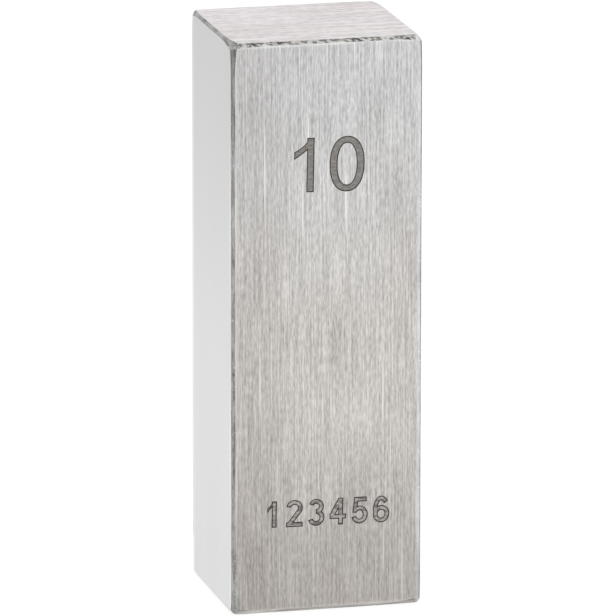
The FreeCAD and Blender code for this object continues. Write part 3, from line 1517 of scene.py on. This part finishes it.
@dataclass
class GaugeBlock:
    """The steel block: faces, stoned edges and laser-marked figures.

    Attributes:
        low: Lowest corner of the block's box.
        high: Highest corner of the block's box.
        edges: How the edges were stoned.
        size_mark: The nominal length on the front.
        number_mark: The running number on the front.
        line_depth: Depth of the dark line round each figure.
        fill_depth: Depth of the hatched surface inside that line.
        mesh: The mesh as built so far.
        corner_points: The vertex where a face's outline turns at a corner of the block.
        strips: The vertices of each stoned facet, by the two faces that it joins.
    """

    low: Vector
    high: Vector
    edges: StonedEdges
    size_mark: FigureRow
    number_mark: FigureRow
    line_depth: float = 0.02 * MM
    fill_depth: float = 0.012 * MM
    mesh: BlockMesh = field(default_factory=BlockMesh)
    corner_points: dict[tuple[Face, tuple[int, int, int]], int] = field(default_factory=dict)
    strips: dict[frozenset[Face], list[list[int]]] = field(default_factory=dict)

    def plane(self, face: Face) -> float:
        """Coordinate of a face on its own axis.

        Args:
            face: The face.

        Returns:
            The coordinate.
        """
        return self.low[face.axis] if face.side < 0 else self.high[face.axis]

    def outward(self, *faces: Face) -> Vector:
        """Sum of the outward normals of some faces.

        Args:
            faces: The faces.

        Returns:
            The sum, which is not of unit length for two or three faces.
        """
        direction = Vector((0.0, 0.0, 0.0))
        for face in faces:
            direction[face.axis] += face.side
        return direction

    def corner_point(self, face: Face, corner: tuple[int, int, int]) -> int:
        """Vertex where a face's outline turns at one corner of the block.

        Args:
            face: The face.
            corner: The corner, as -1 or +1 on each axis.

        Returns:
            The vertex number.
        """
        key = (face, corner)
        if key not in self.corner_points:
            point = Vector((0.0, 0.0, 0.0))
            for axis in range(3):
                side = corner[axis]
                point[axis] = self.low[axis] if side < 0 else self.high[axis]
                if axis != face.axis:
                    run = 3 - face.axis - axis
                    length = self.high[run] - self.low[run]
                    place = 0.0 if corner[run] < 0 else length
                    point[axis] -= side * self.edges.cut(face, Face(axis, side), place, length)
            self.corner_points[key] = self.mesh.add_point(point)
        return self.corner_points[key]

    def owns_corner(self, face: Face, vertex: int) -> bool:
        """Tell whether a vertex is where a face's own outline turns.

        Args:
            face: The face.
            vertex: The vertex number.

        Returns:
            True if it is one of that face's corners.
        """
        return any(
            index == vertex
            for (owner, _), index in self.corner_points.items()
            if owner == face
        )

    def segments(self, axis: int) -> int:
        """Number of mesh faces along an edge of the block.

        Args:
            axis: The axis that the edge runs along.

        Returns:
            The number.
        """
        return round((self.high[axis] - self.low[axis]) / self.edges.step)

    def crown_point(
        self, weights: Sequence[float], corners: Sequence[Vector], faces: Sequence[Face]
    ) -> Vector:
        """Point of a stoned facet, lifted over the flat between its corners.

        Args:
            weights: Share of each corner, adding up to 1.
            corners: The facet's corners, one on each face.
            faces: The faces that meet there.

        Returns:
            The point.
        """
        point = Vector((0.0, 0.0, 0.0))
        for weight, corner in zip(weights, corners):
            point += corner * weight
        # Four times the product of two shares is 1 halfway between their corners.
        count = len(corners)
        for first in range(count):
            for second in range(first + 1, count):
                span = (corners[first] - corners[second]).length
                lift = 4 * weights[first] * weights[second] * self.edges.crown * span
                point += self.outward(faces[first], faces[second]).normalized() * lift
        return point

    def build_strip(self, first: Face, second: Face) -> None:
        """Build the stoned facet between two faces.

        Args:
            first: One face.
            second: A face that meets it.
        """
        run = 3 - first.axis - second.axis
        length = self.high[run] - self.low[run]
        count = self.segments(run)
        ends = []
        for side in (-1, 1):
            corner = [0, 0, 0]
            corner[first.axis] = first.side
            corner[second.axis] = second.side
            corner[run] = side
            ends.append(tuple(corner))
        rows = self.edges.rows
        grid = []
        for step in range(count + 1):
            share = step / count
            sides = []
            for face, other in ((first, second), (second, first)):
                if step in (0, count):
                    sides.append(self.corner_point(face, ends[0 if step == 0 else 1]))
                    continue
                start = self.mesh.points[self.corner_point(face, ends[0])]
                end = self.mesh.points[self.corner_point(face, ends[1])]
                point = start.lerp(end, share)
                cut = self.edges.cut(face, other, point[run] - self.low[run], length)
                point[other.axis] = self.plane(other) - other.side * cut
                sides.append(self.mesh.add_point(point))
            corners = [self.mesh.points[index] for index in sides]
            line = [sides[0]]
            for row in range(1, rows):
                weight = row / rows
                point = self.crown_point((1 - weight, weight), corners, (first, second))
                line.append(self.mesh.add_point(point))
            line.append(sides[1])
            grid.append(line)
        self.strips[frozenset((first, second))] = grid
        self.mesh.add_grid(
            grid,
            self.outward(first, second),
            lambda row: self.edges.surface(first, second, row),
            first,
        )

    def strip_line(self, first: Face, second: Face, run_side: int) -> list[int]:
        """End line of a strip, from the first face to the second.

        Args:
            first: Face where the line starts.
            second: Face where it ends.
            run_side: -1 for the strip's low end, +1 for its high end.

        Returns:
            The vertex numbers.
        """
        grid = self.strips[frozenset((first, second))]
        line = grid[0] if run_side < 0 else grid[-1]
        return line if self.owns_corner(first, line[0]) else list(reversed(line))

    def build_corner(self, corner: tuple[int, int, int]) -> None:
        """Build the small rounded patch where three stoned edges meet.

        Args:
            corner: The corner, as -1 or +1 on each axis.
        """
        faces = [Face(axis, corner[axis]) for axis in range(3)]
        tips = [self.corner_point(face, corner) for face in faces]
        tip_points = [self.mesh.points[index] for index in tips]
        rows = self.edges.rows
        known: dict[tuple[int, int, int], int] = {}
        for first, second in ((0, 1), (1, 2), (0, 2)):
            run = 3 - first - second
            line = self.strip_line(faces[first], faces[second], corner[run])
            for row, index in enumerate(line):
                shares = [0, 0, 0]
                shares[first] = rows - row
                shares[second] = row
                known[tuple(shares)] = index
        for a in range(1, rows - 1):
            for b in range(1, rows - a):
                shares = (a, b, rows - a - b)
                weights = [share / rows for share in shares]
                point = self.crown_point(weights, tip_points, faces)
                known[shares] = self.mesh.add_point(point)
        outward = self.outward(*faces)
        # Corners at the right take the painted highlight.
        surface = Surface.STONED_BRIGHT if RIGHT in faces else Surface.STONED_SHORT
        for a in range(rows):
            for b in range(rows - a):
                c = rows - a - b - 1
                upright = (known[a + 1, b, c], known[a, b + 1, c], known[a, b, c + 1])
                self.mesh.add_face(upright, outward, surface, faces[2])
                if c > 0:
                    turned = (
                        known[a + 1, b + 1, c - 1],
                        known[a + 1, b, c],
                        known[a, b + 1, c],
                    )
                    self.mesh.add_face(turned, outward, surface, faces[2])

    def side_line(self, face: Face, neighbour: Face) -> list[int]:
        """Vertices of a face's outline along one neighbour, in rising coordinate.

        Args:
            face: The face.
            neighbour: The neighbour.

        Returns:
            The vertex numbers.
        """
        grid = self.strips[frozenset((face, neighbour))]
        column = 0 if self.owns_corner(face, grid[0][0]) else -1
        return [line[column] for line in grid]

    def build_plain_face(self, face: Face) -> None:
        """Fill a face with a grid of quads.

        Args:
            face: The face.
        """
        across, along = (axis for axis in range(3) if axis != face.axis)
        left = self.side_line(face, Face(across, -1))
        right = self.side_line(face, Face(across, 1))
        bottom = self.side_line(face, Face(along, -1))
        top = self.side_line(face, Face(along, 1))
        columns = len(bottom) - 1
        lines = len(left) - 1
        grid = [[0] * (columns + 1) for _ in range(lines + 1)]
        for line in range(lines + 1):
            for column in range(columns + 1):
                if line == 0:
                    grid[line][column] = bottom[column]
                elif line == lines:
                    grid[line][column] = top[column]
                elif column == 0:
                    grid[line][column] = left[line]
                elif column == columns:
                    grid[line][column] = right[line]
                else:
                    point = Vector((0.0, 0.0, 0.0))
                    point[face.axis] = self.plane(face)
                    start = self.mesh.points[left[line]]
                    end = self.mesh.points[right[line]]
                    point[across] = start.lerp(end, column / columns)[across]
                    foot = self.mesh.points[bottom[column]]
                    head = self.mesh.points[top[column]]
                    point[along] = foot.lerp(head, line / lines)[along]
                    grid[line][column] = self.mesh.add_point(point)
        surface = FACE_SURFACES[face.axis]
        self.mesh.add_grid(grid, self.outward(face), lambda column: surface, face)

    def build_marked_face(self) -> None:
        """Fill the front face round and inside its figures, and sink the figures."""
        left, right, bottom, top = (
            self.side_line(FRONT, neighbour) for neighbour in (LEFT, RIGHT, BOTTOM, TOP)
        )
        rim = bottom + right[1:] + list(reversed(top))[1:] + list(reversed(left))[1:-1]
        points: list[Point2] = [
            (self.mesh.points[index].x, self.mesh.points[index].z) for index in rim
        ]
        loops = [list(range(len(rim)))]
        rim_loop = list(points)
        rows = ((self.size_mark, Surface.SIZE_FILL), (self.number_mark, Surface.NUMBER_FILL))
        drawn = [
            Outline(loop, row.line, fill) for row, fill in rows for loop in row.outlines()
        ]
        for outline in drawn:
            for loop in (outline.loop, inset_loop(outline.loop, outline.line)):
                loops.append(list(range(len(points), len(points) + len(loop))))
                points.extend(loop)
        points.extend(self.field_points())
        placed, triangles, _, sources = triangulate(points, loops)
        # The rim is a little wavy, so slivers outside its hollows are left out.
        kept = []
        levels = []
        for triangle in triangles:
            middle = sum((Vector(placed[index]) for index in triangle), Vector((0.0, 0.0))) / 3
            if holds_point(rim_loop, middle):
                kept.append(triangle)
                levels.append(self.mark_level(middle, drawn))
        self.sink_figures(rim, placed, kept, levels, sources)

    def mark_level(self, point: Vector, drawn: Sequence[Outline]) -> Surface:
        """Kind of surface at a point of the front's plane.

        Args:
            point: The point.
            drawn: Outlines of the figures, holes included.

        Returns:
            The bare side, the laser's line beside an outline, or the fill inside it.
        """
        near = [outline for outline in drawn if outline.is_near(point)]
        if sum(holds_point(outline.loop, point) for outline in near) % 2 == 0:
            return Surface.GROUND_SIDE
        # Triangles beside the line's inner side count as fill.
        slack = 0.9
        for outline in near:
            if distance_to_loop(point, outline.loop) < slack * outline.line:
                return Surface.MARK_LINE
        return near[0].fill

    def field_points(self) -> Iterable[Point2]:
        """Points spread over the front face, clear of its rim.

        Yields:
            Points in the face's plane.
        """
        spacing = 2 * self.edges.step
        columns = round((self.high.x - self.low.x) / spacing)
        lines = round((self.high.z - self.low.z) / spacing)
        for column in range(1, columns):
            for line in range(1, lines):
                yield self.low.x + column * spacing, self.low.z + line * spacing

    def sink_figures(
        self,
        rim: Sequence[int],
        placed: Sequence[Point2],
        triangles: Sequence[tuple[int, ...]],
        levels: Sequence[Surface],
        sources: Sequence[Sequence[int]],
    ) -> None:
        """Add the front's triangles at their depths, and the walls between depths.

        Args:
            rim: Vertices of the face's outline, which come first among the given points.
            placed: Points of the triangles in the face's plane.
            triangles: The triangles, as numbers of those points.
            levels: The kind of surface of each triangle.
            sources: For each point, the given points that it stands for.
        """
        depths = {
            Surface.GROUND_SIDE: 0.0,
            Surface.MARK_LINE: self.line_depth,
            Surface.SIZE_FILL: self.fill_depth,
            Surface.NUMBER_FILL: self.fill_depth,
        }
        numbers: dict[tuple[int, Surface], int] = {}
        for index, source in enumerate(sources):
            for given in source:
                if given < len(rim):
                    numbers[index, Surface.GROUND_SIDE] = rim[given]

        def number(index: int, level: Surface) -> int:
            """Vertex of a point of the plane at the depth of a level.

            Args:
                index: Number of the point.
                level: The kind of surface.

            Returns:
                The vertex number.
            """
            if (index, level) not in numbers:
                x, z = placed[index]
                y = self.plane(FRONT) + depths[level]
                numbers[index, level] = self.mesh.add_point(Vector((x, y, z)))
            return numbers[index, level]

        outward = self.outward(FRONT)
        level_of_side: dict[tuple[int, int], Surface] = {}
        for triangle, level in zip(triangles, levels):
            corners = [number(index, level) for index in triangle]
            self.mesh.add_face(corners, outward, level, FRONT)
            for corner in range(3):
                level_of_side[triangle[corner], triangle[(corner + 1) % 3]] = level
        for (start, end), level in level_of_side.items():
            other = level_of_side.get((end, start))
            if other is None or depths[other] <= depths[level]:
                continue
            wall = (
                number(end, level),
                number(start, level),
                number(start, other),
                number(end, other),
            )
            run = Vector(placed[end]) - Vector(placed[start])
            facing = Vector((run.y, 0.0, -run.x))
            self.mesh.add_face(wall, facing, Surface.MARK_LINE, FRONT)

    def build(self) -> bpy.types.Object:
        """Build the block's mesh and object.

        Returns:
            The object, with no materials yet.
        """
        for index, first in enumerate(FACES):
            for second in FACES[index + 1:]:
                if first.axis != second.axis:
                    self.build_strip(first, second)
        for x in (-1, 1):
            for y in (-1, 1):
                for z in (-1, 1):
                    self.build_corner((x, y, z))
        for face in FACES:
            if face != FRONT:
                self.build_plain_face(face)
        self.build_marked_face()
        data = bpy.data.meshes.new(PIECE_NAME)
        data.from_pydata([tuple(point) for point in self.mesh.points], [], self.mesh.faces)
        slots = [surface.value for surface in self.mesh.surfaces]
        data.polygons.foreach_set("material_index", slots)
        data.shade_smooth()
        crease_degrees = 18
        data.set_sharp_from_angle(angle=math.radians(crease_degrees))
        data.validate()
        self.lay_out_texture(data)
        piece = bpy.data.objects.new(PIECE_NAME, data)
        bpy.context.scene.collection.objects.link(piece)
        return piece

    def lay_out_texture(self, data: bpy.types.Mesh) -> None:
        """Give each side of the block its own tile of one texture map, all at one scale.

        Args:
            data: The block's mesh.
        """
        # Four tall tiles stand side by side below the two ends, with a gap round each tile.
        gap = 0.4 * MM
        gaps_across = 5
        size = self.high - self.low
        sheet = 2 * (size.x + size.y) + gaps_across * gap
        tiles: dict[Face, Point2] = {}
        left = gap
        for face in FACES:
            if face.axis == 2:
                continue
            tiles[face] = (left, gap)
            left += size[1 - face.axis] + gap
        left = gap
        for face in FACES:
            if face.axis == 2:
                tiles[face] = (left, size.z + 2 * gap)
                left += size.x + gap
        layer = data.uv_layers.new(name="OFBake")
        for polygon, owner in zip(data.polygons, self.mesh.owners):
            across, along = (axis for axis in range(3) if axis != owner.axis)
            corner = tiles[owner]
            for loop_index in polygon.loop_indices:
                point = data.vertices[data.loops[loop_index].vertex_index].co
                layer.data[loop_index].uv = (
                    (corner[0] + point[across] - self.low[across]) / sheet,
                    (corner[1] + point[along] - self.low[along]) / sheet,
                )

    def dress(self, piece: bpy.types.Object) -> None:
        """Give the block its finishes, one material slot for each kind of surface.

        Args:
            piece: The block's object.
        """
        for surface in Surface:
            piece.data.materials.append(FINISHES[surface].material(self.low, self.high))


# ---- Studio --------------------------------------------------------------------------------


@dataclass(frozen=True)
class SoftBox:
    """A square studio lamp behind a white cloth.

    Attributes:
        name: Lamp name.
        azimuth: Compass angle in degrees; 0 is in front of the block, 90 at its right.
        elevation: Angle in degrees above the floor.
        distance: Distance from the block's middle.
        size: Side of the cloth.
        power: Radiant power in watts.
    """

    name: str
    azimuth: float
    elevation: float
    distance: float
    size: float
    power: float

    def build(self, target: Vector) -> bpy.types.Object:
        """Hang the lamp so that it looks at a target.

        Args:
            target: The point to light.

        Returns:
            The lamp.
        """
        data = bpy.data.lights.new(self.name, "AREA")
        data.shape = "SQUARE"
        data.size = self.size
        data.energy = self.power
        lamp = bpy.data.objects.new(self.name, data)
        away = direction(self.azimuth, self.elevation)
        lamp.location = target + away * self.distance
        lamp.rotation_euler = away.to_track_quat("Z", "Y").to_euler()
        lamp.visible_camera = False
        bpy.context.scene.collection.objects.link(lamp)
        return lamp


def direction(azimuth: float, elevation: float) -> Vector:
    """Unit vector from the block towards a compass angle and an elevation.

    Args:
        azimuth: Compass angle in degrees; 0 is in front of the block, 90 at its right.
        elevation: Angle in degrees above the floor.

    Returns:
        The vector.
    """
    turn = math.radians(azimuth)
    rise = math.radians(elevation)
    return Vector((
        math.sin(turn) * math.cos(rise),
        -math.cos(turn) * math.cos(rise),
        math.sin(rise),
    ))


@dataclass(frozen=True)
class Studio:
    """White table, white surroundings, soft boxes and the camera.

    Attributes:
        floor_radius: Radius of the round table top.
        floor_drop: Gap that keeps the table top clear of the block's bottom.
        paper: Colour of the table top.
        paper_roughness: Microscopic roughness of the table top.
        paper_glow: Light that the table top adds where it is seen, to read as white.
        surround: Strength of the surroundings' light on the block.
        lamps: The soft boxes.
        camera_azimuth: Camera angle in degrees; negative is towards the left face.
        camera_elevation: Camera angle in degrees above the table.
        camera_roll: Turn of the camera about its line of sight, in degrees.
        camera_distance: Distance from the aim point.
        aim_right: Aim point right of the block's middle.
        aim_up: Aim point above the block's middle.
        lens_mm: Focal length.
        sensor_mm: Width of the sensor.
        clip: Nearest and farthest distance that the camera sees.
    """

    floor_radius: float = 1.2
    floor_drop: float = 0.02 * MM
    paper: str = "#d9d9d9"
    paper_roughness: float = 0.9
    paper_glow: float = 0.64
    surround: float = 0.5
    lamps: tuple[SoftBox, ...] = (
        SoftBox("key_lamp", azimuth=-40, elevation=55, distance=0.6, size=0.6, power=0.4),
        SoftBox("fill_lamp", azimuth=70, elevation=40, distance=0.6, size=0.6, power=0.3),
    )
    camera_azimuth: float = -14.19
    camera_elevation: float = 13.88
    camera_roll: float = 0.069
    camera_distance: float = 0.4571
    aim_right: float = 0.112 * MM
    aim_up: float = -0.078 * MM
    lens_mm: float = 517.5
    sensor_mm: float = 36.0
    clip: tuple[float, float] = (0.01, 10.0)

    def white_to_lens(self, tree: bpy.types.NodeTree) -> bpy.types.NodeSocket:
        """Add nodes that tell camera, mirror and glass rays from the rest.

        Args:
            tree: The node tree.

        Returns:
            A socket that is 1 for a ray that shows the background, and 0 for other rays.
        """
        path = add_node(tree, "ShaderNodeLightPath")
        total = path.outputs["Is Camera Ray"]
        for name in ("Is Glossy Ray", "Is Transmission Ray"):
            total = operate(tree, "Math", "MAXIMUM", total, path.outputs[name])
        return total

    def build_world(self) -> None:
        """Surround the scene with white that lights the block softly."""
        world = bpy.data.worlds.new("white_surround")
        world.use_nodes = True
        tree = world.node_tree
        tree.nodes.clear()
        seen = self.white_to_lens(tree)
        background = add_node(
            tree,
            "ShaderNodeBackground",
            values={"Color": WHITE},
            links={"Strength": map_range(tree, seen, target=(self.surround, 1.0))},
        )
        white = background.outputs["Background"]
        add_node(tree, "ShaderNodeOutputWorld", links={"Surface": white})
        bpy.context.scene.world = world

    def build_floor(self, level: float) -> bpy.types.Object:
        """Lay the table top.

        Args:
            level: Height of the block's bottom.

        Returns:
            The table top.
        """
        sides = 96
        height = level - self.floor_drop
        turns = [2 * math.pi * side / sides for side in range(sides)]
        rim = [
            (self.floor_radius * math.cos(turn), self.floor_radius * math.sin(turn), height)
            for turn in turns
        ]
        data = bpy.data.meshes.new("paper_floor")
        data.from_pydata(rim, [], [tuple(range(sides))])
        floor = bpy.data.objects.new("paper_floor", data)
        bpy.context.scene.collection.objects.link(floor)
        floor.data.materials.append(self.paper_material())
        return floor

    def paper_material(self) -> bpy.types.Material:
        """Matt white paper that reads as the white background and still takes a shadow.

        Returns:
            The material.
        """
        material, tree = empty_material("matt_white_paper")
        seen = self.white_to_lens(tree)
        shader = add_node(
            tree,
            "ShaderNodeBsdfPrincipled",
            values={
                "Base Color": linear(self.paper),
                "Roughness": self.paper_roughness,
                "Specular IOR Level": 0.0,
                "Emission Color": WHITE,
            },
            links={"Emission Strength": map_range(tree, seen, target=(0.0, self.paper_glow))},
        )
        add_node(tree, "ShaderNodeOutputMaterial", links={"Surface": shader.outputs["BSDF"]})
        return material

    def build_camera(self, middle: Vector) -> bpy.types.Object:
        """Set the camera up on the block's middle.

        Args:
            middle: Middle of the block.

        Returns:
            The camera.
        """
        away = direction(self.camera_azimuth, self.camera_elevation)
        right = Vector((0.0, 0.0, 1.0)).cross(away).normalized()
        up = away.cross(right)
        target = middle + right * self.aim_right + up * self.aim_up
        data = bpy.data.cameras.new("camera")
        data.sensor_width = self.sensor_mm
        data.lens = self.lens_mm
        data.clip_start, data.clip_end = self.clip
        camera = bpy.data.objects.new("camera", data)
        camera.location = target + away * self.camera_distance
        level = away.to_track_quat("Z", "Y")
        roll = Quaternion((0.0, 0.0, 1.0), math.radians(self.camera_roll))
        camera.rotation_euler = (level @ roll).to_euler()
        bpy.context.scene.collection.objects.link(camera)
        bpy.context.scene.camera = camera
        return camera

    def build(self, low: Vector, high: Vector) -> None:
        """Build everything round the block.

        Args:
            low: Lowest corner of the block's box.
            high: Highest corner of the block's box.
        """
        middle = (low + high) / 2
        self.build_world()
        self.build_floor(low.z)
        for lamp in self.lamps:
            lamp.build(middle)
        self.build_camera(middle)
        bpy.context.scene.view_settings.view_transform = "Standard"


def main() -> None:
    """Build the studio and the block, and dress the block over its CAD solid."""
    logging.basicConfig(level=logging.INFO, format="%(name)s: %(message)s")
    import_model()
    low, high = (Vector(corner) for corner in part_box(BLOCK_NODE))
    Studio().build(low, high)
    LOG.info("studio built")
    size_mark_height = 2.9 * MM
    size_mark_drop = 5.0 * MM
    block = GaugeBlock(
        low=low,
        high=high,
        edges=StonedEdges(),
        size_mark=FigureRow(
            text=f"{(high.x - low.x) / MM:.6g}",
            height=size_mark_height,
            width=1.84 * MM,
            pitch=2.17 * MM,
            pen=0.39 * MM,
            line=0.054 * MM,
            foot=high.z - size_mark_drop - size_mark_height,
            aside=-0.06 * MM,
            turn=-1.0,
        ),
        number_mark=FigureRow(
            text="123456",
            height=1.43 * MM,
            width=0.88 * MM,
            pitch=1.15 * MM,
            pen=0.26 * MM,
            line=0.055 * MM,
            foot=low.z + 4.53 * MM,
            aside=0.0,
            turn=-0.75,
        ),
    )
    piece = block.build()
    block.dress(piece)
    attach(piece, "root")
    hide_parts(BLOCK_NODE)
    LOG.info("%s: %d faces", piece.name, len(piece.data.polygons))


if __name__ == "__main__":
    main()
